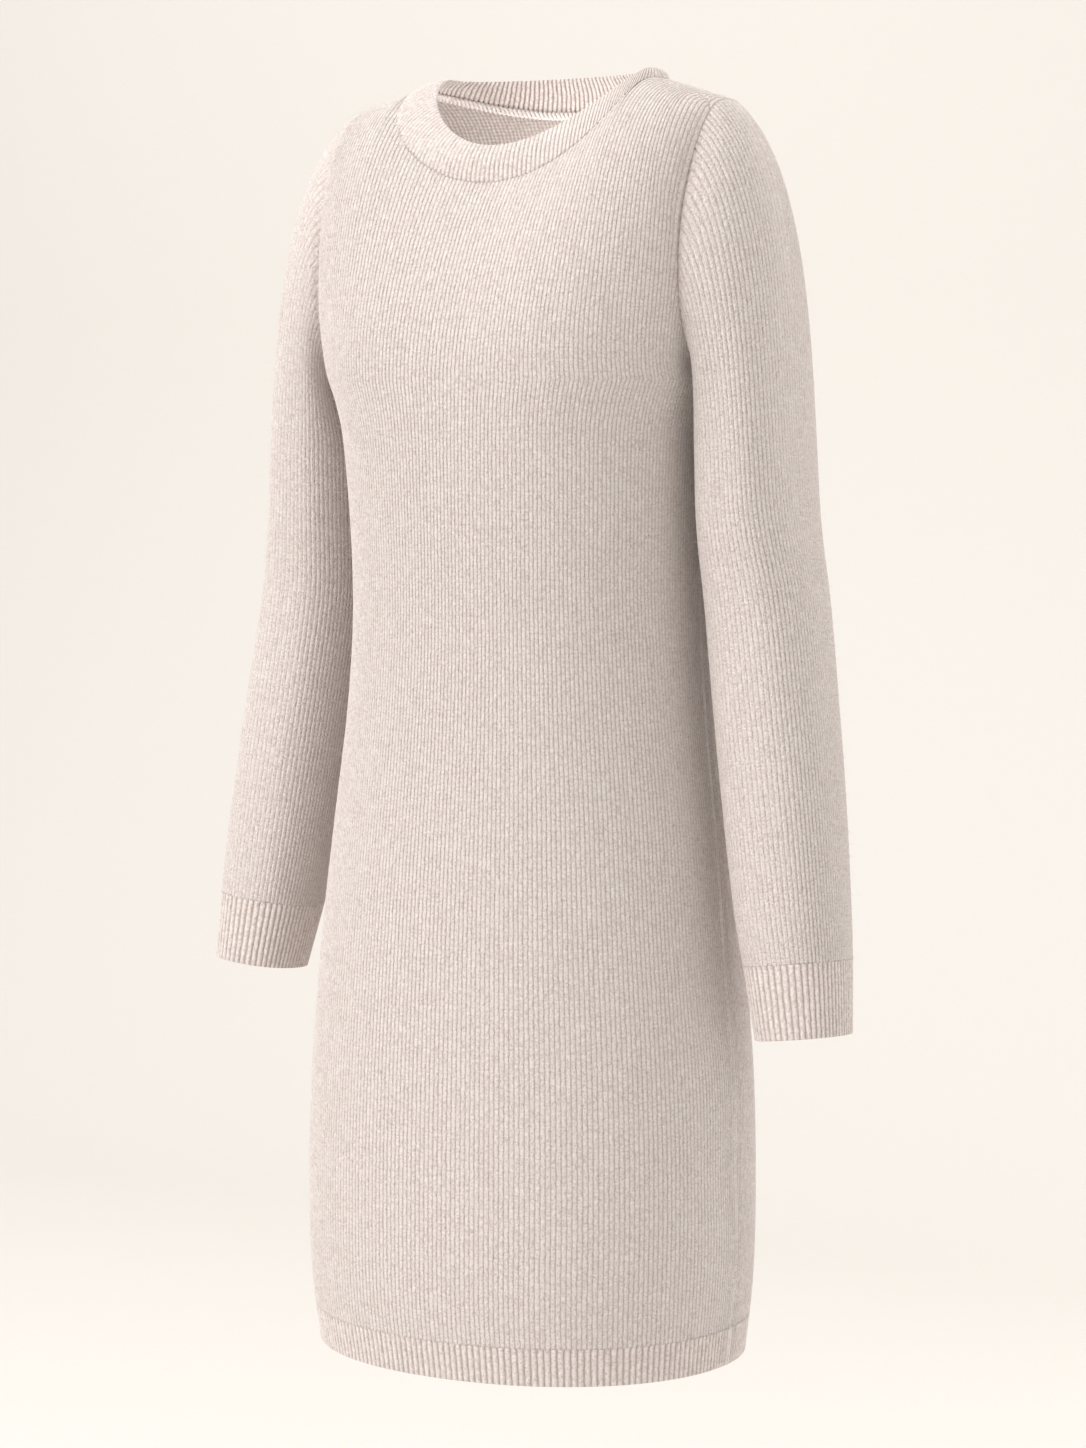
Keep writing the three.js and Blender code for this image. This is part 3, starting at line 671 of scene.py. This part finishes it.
def armhole_line():
    """The armhole seam, from the shoulder seam down the front and up the back, with the
    angle round the sleeve that each point goes to."""
    edge = np.array([1.0])
    sides = []
    for facing in (FRONT, BACK):
        rise = steps_to(last_rise(edge, facing), 900)[:, 0]
        turn = np.arccos(np.clip(2 * np.where(rise > 1, 2 - rise, rise) - 1, -1, 1))
        turn = np.where(rise > 1, -turn, turn)
        sides.append((risen(np.ones(rise.shape), facing, rise), turn))
    line = np.concatenate([sides[0][0][::-1], sides[1][0][1:]])
    return line, np.concatenate([sides[0][1][::-1], 2 * np.pi - sides[1][1][1:]])


def sleeve_rings(z, angles, drop):
    z = np.asarray(z, float)[:, None]
    across = unit(np.array([-SLEEVE_LEAN[2], 0, SLEEVE_LEAN[0]]))
    forward = unit(np.array([0, SLEEVE_LEAN[2], -SLEEVE_LEAN[1]]))
    c, s = np.cos(angles)[None], np.sin(angles)[None]
    round_ = between(SLEEVE, z, 5)
    size = (np.abs(c) ** round_ + np.abs(s) ** round_) ** (-1 / round_)
    middle = points(between(SLEEVE, z, 1), between(SLEEVE, z, 2), mix(SLEEVE[0, 0], z, drop))
    return (middle + (between(SLEEVE, z, 3) * size * c)[..., None] * across
            + (between(SLEEVE, z, 4) * size * s)[..., None] * forward)


def sleeve_columns(count):
    """Evenly spaced columns round the arm, and where each one starts on the armhole."""
    line, angles = armhole_line()
    ring = sleeve_rings([-330.0], angles, 1.0)[0]
    ring = np.concatenate([ring, ring[:1]])
    arc = np.r_[0, np.cumsum(np.linalg.norm(np.diff(ring, axis=0), axis=1))]
    line, angles = np.concatenate([line, line[:1]]), np.r_[angles, angles[0] + 2 * np.pi]
    wanted = np.arange(count) / count * arc[-1]
    start = np.stack([np.interp(wanted, arc, line[:, k]) for k in range(3)], -1)
    return start, np.interp(wanted, arc, angles)


# The way that the sleeve head leaves the armhole and comes down to the first ring: pairs are
# for the underarm and the shoulder point, and a pull is a share of the way between the two
LEAVE_OUT, LEAVE_FORWARD, LEAVE_UP = (0.6, 0.73), 0.15, (-0.8, -0.68)
LEAVE_PULL, ARRIVE_PULL, ARRIVE_OUT = (0.6, 0.78), (0.7, 1.3), 0.06
HEAD_CROWDING = 1.2


def sleeve_grid(count, drop, head_rows, arm_rows):
    start, angles = sleeve_columns(count)
    first = sleeve_rings(SLEEVE[:1, 0], angles, drop)[0]
    high = (1 + np.cos(angles)) / 2
    reach = np.linalg.norm(first - start, axis=1)
    leave = unit(points(mix(*LEAVE_OUT, high), -LEAVE_FORWARD * np.sin(angles),
                        mix(*LEAVE_UP, high)))
    leave = leave * (reach * mix(*LEAVE_PULL, high))[:, None]
    arrive = np.array([ARRIVE_OUT, 0, -1.0]) * (reach * mix(*ARRIVE_PULL, high))[:, None]
    t = np.linspace(0, 1, head_rows + 1)[:, None, None] ** HEAD_CROWDING
    head = ((1 + 2 * t) * (1 - t) ** 2 * start + t * (1 - t) ** 2 * leave
            + t * t * (3 - 2 * t) * first + t * t * (t - 1) * arrive)
    down = np.r_[np.linspace(SLEEVE[0, 0], CUFF_TOP + JOIN_ROW, arm_rows)[1:], CUFF_TOP]
    arm = sleeve_rings(down, angles, drop)
    return np.concatenate([head, arm])


def make_sleeve(name, side):
    count = SLEEVE_WALES * SLEEVE_COLUMNS
    grid = sleeve_grid(count, SLEEVE_DROP[name], HEAD_ROWS, ARM_ROWS)
    out = outward(grid, ring=True)
    wales = np.repeat(np.arange(count)[None] / SLEEVE_COLUMNS, len(grid), 0)
    along = np.r_[0, np.cumsum(np.linalg.norm(np.diff(grid, axis=0), axis=2).mean(1))]
    courses = np.repeat(-along[:, None] / COURSE, count, 1) + 400
    to_seam = np.abs(along)[:, None]
    at_seam = np.exp(-(to_seam / SEAM_SOFT) ** 2)
    out = faced(out, crease_way(grid[:1]), np.repeat(to_seam, count, 1), ARMHOLE_TURN)
    relief = (WALE_RELIEF * (ridge(wales) - 1) * (1 - at_seam) - SEAM_SUNK * at_seam
              - seam_valley(to_seam, grid[:1, :, 2]))
    relief *= 1 - np.exp(-((along[-1] - along[:, None]) / JOIN_FADE) ** 2)
    outer = grid + out * relief[..., None]
    rows = np.r_[0:len(grid):2, len(grid) - 1]
    inner = (grid - out * CLOTH)[rows][:, ::8]
    counted = np.stack([wales, courses], -1)
    inner_counted = counted[rows][:, ::8]
    mirror = np.array([side, 1.0, 1.0])
    if side > 0:
        outer, counted = outer[::-1], counted[::-1]
        inner, inner_counted = inner[::-1], inner_counted[::-1]
    piece = thin_shell(f"{name}_sleeve_jersey", outer * mirror, inner * mirror, counted,
                       inner_counted, True, [jersey, jersey_reverse])
    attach(piece, "root")
    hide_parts(f"{name}_sleeve")
    return grid, out, piece


right_grid, right_out, right_sleeve = make_sleeve("right", -1)
left_grid, left_out, left_sleeve = make_sleeve("left", 1)

# Cuffs: one-by-one rib in the same yarn, knitted on to the end of each sleeve. The outer
# ribs stand proud, the gaps between them are the backs of the inner ribs.
RIB_HEIGHT = 0.9
RIB_COLUMNS = 6
CUFF_RIBS = 60
CUFF_ROWS = 12
EDGE_ROLL = 5


def rib_stitches(tree, wale, course):
    """One rib stands up and the next goes back: legs of yarn show on the standing one."""
    aside = from_middle(tree, wale)
    legs = node(tree, "Math", "SINE", node(
        tree, "Math", "MULTIPLY", legs_up(tree, course, aside, 0.9), math.pi))
    standing = without(tree, aside, 2.0)
    leg = node(tree, "Math", "MULTIPLY", legs, standing)
    # The second value is the share of painted shade, in the gaps between the standing ribs.
    return (weighed(tree, standing, 0.7, leg, 0.3),
            node(tree, "Math", "POWER", aside, 2.5))


# Outside of the rib: rounded standing ribs, with soft painted shade in the gaps between them.
rib_knit = wool("one_by_one_rib_wool_blend", rib_stitches, 0.74, 0.8)
# Inside of the rib: the same ribs with deeper bumps and stronger painted shade in their gaps,
# which darkens the inside of the neckband, cuffs and hem.
rib_inside_painted_shade = wool("inside_of_rib_painted_shade", rib_stitches, 1.45, 1.2)


def rib_tube(name, rows, outs, ribs, thick, ring, edge_out, rib_height, blend):
    """Ribbed cloth, thick from face to face, folded over a rounded free edge. rows go from
    the seam to the free edge, with an outward direction for each point; edge_out is the way
    that the free edge faces."""
    count = ribs * RIB_COLUMNS
    columns = np.arange(count if ring else count + 1)
    phase = columns / RIB_COLUMNS
    stand = np.abs(np.sin(np.pi * phase))[:, None] ** 0.7
    back_stand = np.abs(np.cos(np.pi * phase))[:, None] ** 0.7
    half = thick / 2
    down = np.r_[0, np.cumsum(np.linalg.norm(np.diff(rows, axis=0), axis=2).mean(1))]
    high = (rib_height * (1 - blend * np.exp(-(down / JOIN_FADE) ** 2)))[:, None, None]
    middle = rows - outs * half
    outer = middle + outs * (half - high * (1 - stand))
    inner = middle - outs * (half - high * 0.8 * (1 - back_stand))
    last, out = middle[-1], outs[-1]
    fold = []
    for turn in np.linspace(0, math.pi, EDGE_ROLL + 2)[1:-1]:
        share = (1 - math.cos(turn)) / 2
        reach = mix(half - rib_height * (1 - stand), half - rib_height * 0.8 * (1 - back_stand),
                    share)
        fold.append(last + out * reach * math.cos(turn) + edge_out * half * math.sin(turn))
    loop = np.concatenate([outer, np.array(fold), inner[::-1]])
    length = np.r_[0, np.cumsum(np.linalg.norm(np.diff(loop, axis=0), axis=2).mean(1))]
    numbers = np.arange(loop.shape[0] * loop.shape[1]).reshape(loop.shape[:2])
    around = np.concatenate([numbers, numbers[:1]])
    faces = quads(around, ring).tolist()
    through = len(faces) // len(loop)
    inner_from = len(outer) + EDGE_ROLL // 2
    wide = len(columns) + (1 if ring else 0)
    span = np.arange(wide) / RIB_COLUMNS
    counted = np.stack([span[None] + 0 * length[:, None],
                        np.repeat(length[:, None] / COURSE, wide, 1)], -1)
    counted = np.concatenate([counted, counted[-1:] + [0, 1]])
    flat = np.stack(np.broadcast_arrays(
        np.linspace(0.015, 0.985, wide)[None],
        np.linspace(0.03, 0.97, len(loop) + 1)[:, None]), -1)

    def corners(values):
        return np.stack([values[:-1, :-1], values[:-1, 1:], values[1:, 1:], values[1:, :-1]],
                        2).reshape(-1, 2)
    rows_of = np.repeat(np.arange(len(loop)), wide - 1)
    knit = corners(counted)
    knit[:, 0] += np.repeat(np.where(rows_of >= inner_from, 0.5, 0.0), 4)
    bake = corners(flat)
    places = loop.reshape(-1, 3)
    if not ring:
        start = numbers[:, 0].tolist()
        end = numbers[::-1, -1].tolist()
        for cap in (start, end):
            faces.append(cap)
            knit = np.concatenate([knit, np.zeros((len(cap), 2))])
            bake = np.concatenate([bake, np.stack([np.linspace(0.02, 0.98, len(cap)),
                                                   np.full(len(cap), 0.005)], -1)])
    closing = range(through * (len(loop) - 1), len(faces))
    # The inside faces get the rib finish with the stronger painted shade in its gaps.
    return cloth_mesh(name, places, faces, knit, bake, through * inner_from,
                      [rib_knit, rib_inside_painted_shade], closing)


for name, side in (("right", -1), ("left", 1)):
    _, angles = sleeve_columns(CUFF_RIBS * RIB_COLUMNS)
    heights = np.r_[CUFF_TOP, np.linspace(CUFF_TOP - JOIN_ROW, CUFF_END, CUFF_ROWS)]
    rows = sleeve_rings(heights, angles, SLEEVE_DROP[name])
    outs = outward(rows, ring=True)
    mirror = np.array([side, 1.0, 1.0])
    rows, outs = rows * mirror, outs * mirror
    if side > 0:
        rows, outs = rows[:, ::-1], outs[:, ::-1]
    cuff = rib_tube(f"{name}_cuff_rib", rows[:, ::-1], outs[:, ::-1], CUFF_RIBS, CLOTH, True,
                    SLEEVE_LEAN * mirror, RIB_HEIGHT, 1.0)
    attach(cuff, "root")
    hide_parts(f"{name}_cuff")

# Hem ribs: a band of one-by-one rib at the foot of each panel, joined at the side seams.
# The front and back bands end beside each other in a small notch.
HEM_RIBS = 110
HEM_ROWS = 8
for facing, name in ((FRONT, "front"), (BACK, "back")):
    shares = width_share(np.linspace(-1, 1, HEM_RIBS * RIB_COLUMNS + 1))[None]
    rib_top = HEM + HEM_RIB
    heights = np.r_[rib_top, np.linspace(rib_top - JOIN_ROW, HEM + CLOTH / 2, HEM_ROWS)]
    heights = heights[:, None]
    rows = on_body(between(BODY, heights, WIDTH) * shares, heights, facing)
    outs = outward(rows) * facing
    outs[..., 2] = 0
    outs = unit(outs)
    if facing == FRONT:
        rows, outs = rows[:, ::-1], outs[:, ::-1]
    hem = rib_tube(f"{name}_hem_rib_knit", rows, outs, HEM_RIBS, CLOTH, False,
                   np.array([0, 0, -1.0]), RIB_HEIGHT, 1.0)
    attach(hem, "root")
    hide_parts(f"{name}_hem_rib")

# Neckband: a ring of one-by-one rib, linked to the neck edge and leaning in to the opening,
# with its free edge rolled over. Ribs show on its outside and on its inside.
NECK_RIBS = 152
BAND_CLOTH, BAND_CROWN = 2.4, 2.5
BAND_RIB_HEIGHT, BAND_BLEND = 1.1, 0.3
OPEN_HALF, OPEN_FRONT, OPEN_BACK, OPEN_SIDE, OPEN_DROP = 83.0, 75.0, 46.0, 9.0, 57.0
OPEN_CURVE = 1.6
BAND_ROWS = 12


def neck_seam(angles):
    """The neck edge of the panels, from the wearer's left round by the front."""
    s, x = np.sin(angles), NECK_HALF * np.cos(angles)
    to_middle = np.abs(s)
    front = on_body(x, neck_height(to_middle, FRONT), FRONT)
    back = on_body(x, neck_height(to_middle, BACK), BACK)
    return np.where((s >= 0)[:, None], front, back)


def neck_out(angles):
    rise = np.abs(np.sin(angles))
    return unit(points(0.47 * np.cos(angles), -0.83 * np.sin(angles), mix(0.88, 0.56, rise)))


def opening_edge(angles):
    c, s = np.cos(angles), np.sin(angles)
    drop = np.where(s > 0, OPEN_DROP * np.abs(s) ** OPEN_CURVE, 0)
    return points(OPEN_HALF * c, SET_BACK_NECK - np.where(s > 0, OPEN_FRONT, OPEN_BACK) * s,
                  OPEN_SIDE - drop)


fine = np.linspace(0, 2 * np.pi, 2401)[:-1]
seam_arc = np.r_[0, np.cumsum(np.linalg.norm(np.diff(np.concatenate(
    [neck_seam(fine), neck_seam(fine[:1])]) * 0.5 + np.concatenate(
    [opening_edge(fine), opening_edge(fine[:1])]) * 0.5, axis=0), axis=1))]
band_angles = np.interp(np.arange(NECK_RIBS * RIB_COLUMNS) / (NECK_RIBS * RIB_COLUMNS)
                        * seam_arc[-1], seam_arc, np.r_[fine, 2 * np.pi])
leans = np.linspace(0, 1, BAND_ROWS + 1)[:, None, None]
outs = np.repeat(neck_out(band_angles)[None], BAND_ROWS + 1, 0)
rows = mix(neck_seam(band_angles)[None], opening_edge(band_angles)[None], leans)
rows = rows + outs * BAND_CROWN * np.sin(np.pi * leans)
edge_way = unit(opening_edge(band_angles) - rows[-2])
neckband = rib_tube("neckband_rib", rows, outs, NECK_RIBS, BAND_CLOTH, True, edge_way,
                    BAND_RIB_HEIGHT, BAND_BLEND)
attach(neckband, "root")
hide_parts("neckband")

# Linking chain: the two-strand chain of yarn that joins the neckband to the panels, lying
# along the inside of the neck seam.
CHAIN_TURN, STRAND, CHAIN_STEPS = 6.4, 1.35, 14
CHAIN_WIDE, CHAIN_DEEP, CHAIN_IN, CHAIN_DOWN = 1.7, 1.4, 1.2, 0.6


def yarn_tube(name, lines, thick, sides, material):
    """Round closed strands along closed lines of points."""
    places, faces = [], []
    for line in lines:
        along = unit(np.roll(line, -1, 0) - np.roll(line, 1, 0))
        side = unit(np.cross(along, np.array([0.0, 0.0, 1.0])))
        up = np.cross(side, along)
        turn = np.arange(sides) / sides * 2 * math.pi
        ring = (line[:, None] + thick * (np.cos(turn)[None, :, None] * side[:, None]
                                         + np.sin(turn)[None, :, None] * up[:, None]))
        numbers = sum(len(p) for p in places) + np.arange(ring.shape[0] * sides).reshape(
            ring.shape[:2])
        places.append(ring.reshape(-1, 3))
        faces += quads(np.concatenate([numbers, numbers[:1]]), True).tolist()
    places = np.concatenate(places)
    counted = np.zeros((4 * len(faces), 2))
    grid = np.arange(len(faces))
    size = math.ceil(math.sqrt(len(faces)))
    low = np.stack([grid % size, grid // size], -1) / size
    corner = np.array([(0, 0), (1, 0), (1, 1), (0, 1)]) * 0.8 / size
    bake = (low[:, None] + corner[None]).reshape(-1, 2)
    return cloth_mesh(name, places, faces, counted, bake, len(faces), [material])


def strand_stitches(tree, wale, course):
    """Spun yarn has no stitches of its own, so both its height and its gaps are nothing."""
    return (node(tree, "Math", "MULTIPLY", course, 0.0),
            node(tree, "Math", "MULTIPLY", wale, 0.0))


# Linking yarn and loose fibres: plain spun wool, matt and even, with no gaps.
chain_yarn = wool("linking_yarn_wool_blend", strand_stitches, 0.0, 0.4)
ring_length = seam_arc[-1]
turns = round(ring_length / CHAIN_TURN)
chain_angles = np.interp(np.arange(turns * CHAIN_STEPS) / (turns * CHAIN_STEPS) * ring_length,
                         seam_arc, np.r_[fine, 2 * np.pi])
base = neck_seam(chain_angles)
chain_out = neck_out(chain_angles)
across = unit(opening_edge(chain_angles) - base)
middle = base - chain_out * (CLOTH + CHAIN_IN) - across * CHAIN_DOWN
strands = []
for start in (0.0, math.pi):
    turn = np.arange(turns * CHAIN_STEPS) / CHAIN_STEPS * 2 * math.pi + start
    strands.append(middle + across * (CHAIN_WIDE * np.cos(turn))[:, None]
                   - chain_out * (CHAIN_DEEP * np.sin(turn))[:, None])
linking_chain = yarn_tube("neck_linking_chain", strands, STRAND, 7, chain_yarn)
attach(linking_chain, "root")

# Brushed fibre ends: short loose wool fibres that stand out of the cloth all over, most
# easily seen along its outline.
FIBRES = {"front_panel": 20000, "back_panel": 14000, "sleeve": 11000}
FIBRE_LENGTH = (0.9, 5.5)
FIBRE_WIDE = 0.06
draws = np.random.default_rng(7)


def fibre_ends(name, grid, out, count, mirror=(1.0, 1.0, 1.0)):
    """Thin bent ribbons rooted in the cloth, two steps long each."""
    r = draws.integers(1, grid.shape[0] - 1, count)
    c = draws.integers(1, grid.shape[1] - 1, count)
    root, up = grid[r, c], out[r, c]
    lean = unit(draws.normal(size=(count, 3)))
    long_ = mix(*FIBRE_LENGTH, draws.uniform(0, 1, count) ** 2)
    side = unit(np.cross(up, lean))
    rings = []
    for step in range(3):
        t = step / 2
        way = up * (0.55 * t) + lean * (0.25 * t + 0.6 * t * t)
        middle = root + way * long_[:, None] - up * 0.3
        wide = FIBRE_WIDE * (1 - 0.8 * t)
        rings.append(np.stack([middle - side * wide, middle + side * wide], 1))
    places = np.stack(rings, 1).reshape(-1, 3) * np.array(mirror)
    first = np.arange(count)[:, None] * 6
    faces = []
    for step in range(2):
        k = first + 2 * step
        faces.append(np.concatenate([k, k + 1, k + 3, k + 2], 1))
    faces = np.concatenate(faces).tolist()
    size = math.ceil(math.sqrt(len(faces)))
    cell = np.arange(len(faces))
    low = np.stack([cell % size, cell // size], -1) / size
    corner = np.array([(0, 0), (1, 0), (1, 1), (0, 1)]) * 0.8 / size
    bake = (low[:, None] + corner[None]).reshape(-1, 2)
    piece = cloth_mesh(name, places, faces, np.zeros((4 * len(faces), 2)), bake, len(faces),
                       [chain_yarn])
    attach(piece, "root")


fibre_ends("front_panel_fibres", front_grid, front_out, FIBRES["front_panel"])
fibre_ends("back_panel_fibres", back_grid, back_out, FIBRES["back_panel"])
fibre_ends("right_sleeve_fibres", right_grid, right_out, FIBRES["sleeve"], (-1.0, 1.0, 1.0))
fibre_ends("left_sleeve_fibres", left_grid, left_out, FIBRES["sleeve"])

# Floor and backdrop: one smooth pale sheet, plain as a studio's, far below and behind.
FLOOR_Z, WALL_BACK, SWEEP = -1.35, 3.6, 1.4
profile = [(-4.0, FLOOR_Z), (WALL_BACK - SWEEP, FLOOR_Z)]
for step in range(1, 17):
    turn = step / 16 * math.pi / 2
    profile.append((WALL_BACK - SWEEP + SWEEP * math.sin(turn),
                    FLOOR_Z + SWEEP * (1 - math.cos(turn))))
profile.append((WALL_BACK, 4.0))
stage_mesh = bpy.data.meshes.new("studio_backdrop")
corners = [(x, y, z) for y, z in profile for x in (-7.0, 7.0)]
stage_mesh.from_pydata(corners, [], [(2 * i, 2 * i + 1, 2 * i + 3, 2 * i + 2)
                                     for i in range(len(profile) - 1)])
for polygon in stage_mesh.polygons:
    polygon.use_smooth = True
backdrop = bpy.data.objects.new("studio_backdrop", stage_mesh)
bpy.context.scene.collection.objects.link(backdrop)
paper = bpy.data.materials.new("matt_backdrop_paper")
paper.use_nodes = True
paper_shader = paper.node_tree.nodes["Principled BSDF"]
paper_shader.inputs["Base Color"].default_value = srgb("#E2DFDB")
paper_shader.inputs["Roughness"].default_value = 0.95
paper_shader.inputs["Specular IOR Level"].default_value = 0.0
stage_mesh.materials.append(paper)

# Soft studio light: a large box in front and to the left of the dress, a faint one on its
# right, and pale light from all round.
for name, place, aim, wide, power in (
        ("key_softbox", (-2.1, -2.7, 1.1), (0, 0, -0.4), 2.4, 93.0),
        ("fill_softbox", (3.2, -1.2, 0.4), (0, 0, -0.45), 2.0, 12.0),
        ("rim_softbox", (1.5, 2.2, 0.2), (0, 0, -0.45), 1.4, 18.0),
        ("top_softbox", (-0.2, 0.1, 1.5), (0, 0, -0.1), 0.9, 13.0),
        ("backdrop_softbox", (-2.2, 0.9, 2.2), (-3.4, 3.2, -0.2), 2.0, 24.0),
        ("neck_softbox", (0.01, -0.045, -0.15), (0.0, 0.06, -0.02), 0.07, 0.36)):
    lamp = bpy.data.lights.new(name, "AREA")
    lamp.shape, lamp.size, lamp.energy = "SQUARE", wide, power
    lamp.color = srgb("#FFFDFB")[:3]
    lit = bpy.data.objects.new(name, lamp)
    lit.location = place
    lit.rotation_euler = (Vector(aim) - Vector(place)).to_track_quat("-Z", "Y").to_euler()
    lit.visible_camera = False
    bpy.context.scene.collection.objects.link(lit)
world = bpy.data.worlds.new("studio_air")
world.use_nodes = True
world.node_tree.nodes["Background"].inputs[0].default_value = srgb("#FFFCF9")
world.node_tree.nodes["Background"].inputs[1].default_value = 0.87
bpy.context.scene.world = world
bpy.context.scene.view_settings.view_transform = "Standard"

# Camera: 30 degrees round to the dress's left and 3.9 degrees above its middle.
AZIMUTH, ELEVATION, DISTANCE, LENS = math.radians(30), math.radians(3.9), 2.6, 90.05
right = Vector((math.cos(AZIMUTH), math.sin(AZIMUTH), 0))
back = Vector((math.sin(AZIMUTH) * math.cos(ELEVATION),
               -math.cos(AZIMUTH) * math.cos(ELEVATION), math.sin(ELEVATION)))
target = right * 0.0025 + Vector((0, 0, -0.455))
camera = bpy.data.objects.new("photograph_view", bpy.data.cameras.new("photograph_view"))
camera.data.lens = LENS
camera.location = target + back * DISTANCE
camera.rotation_euler = (-back).to_track_quat("-Z", "Y").to_euler()
bpy.context.scene.collection.objects.link(camera)
bpy.context.scene.camera = camera
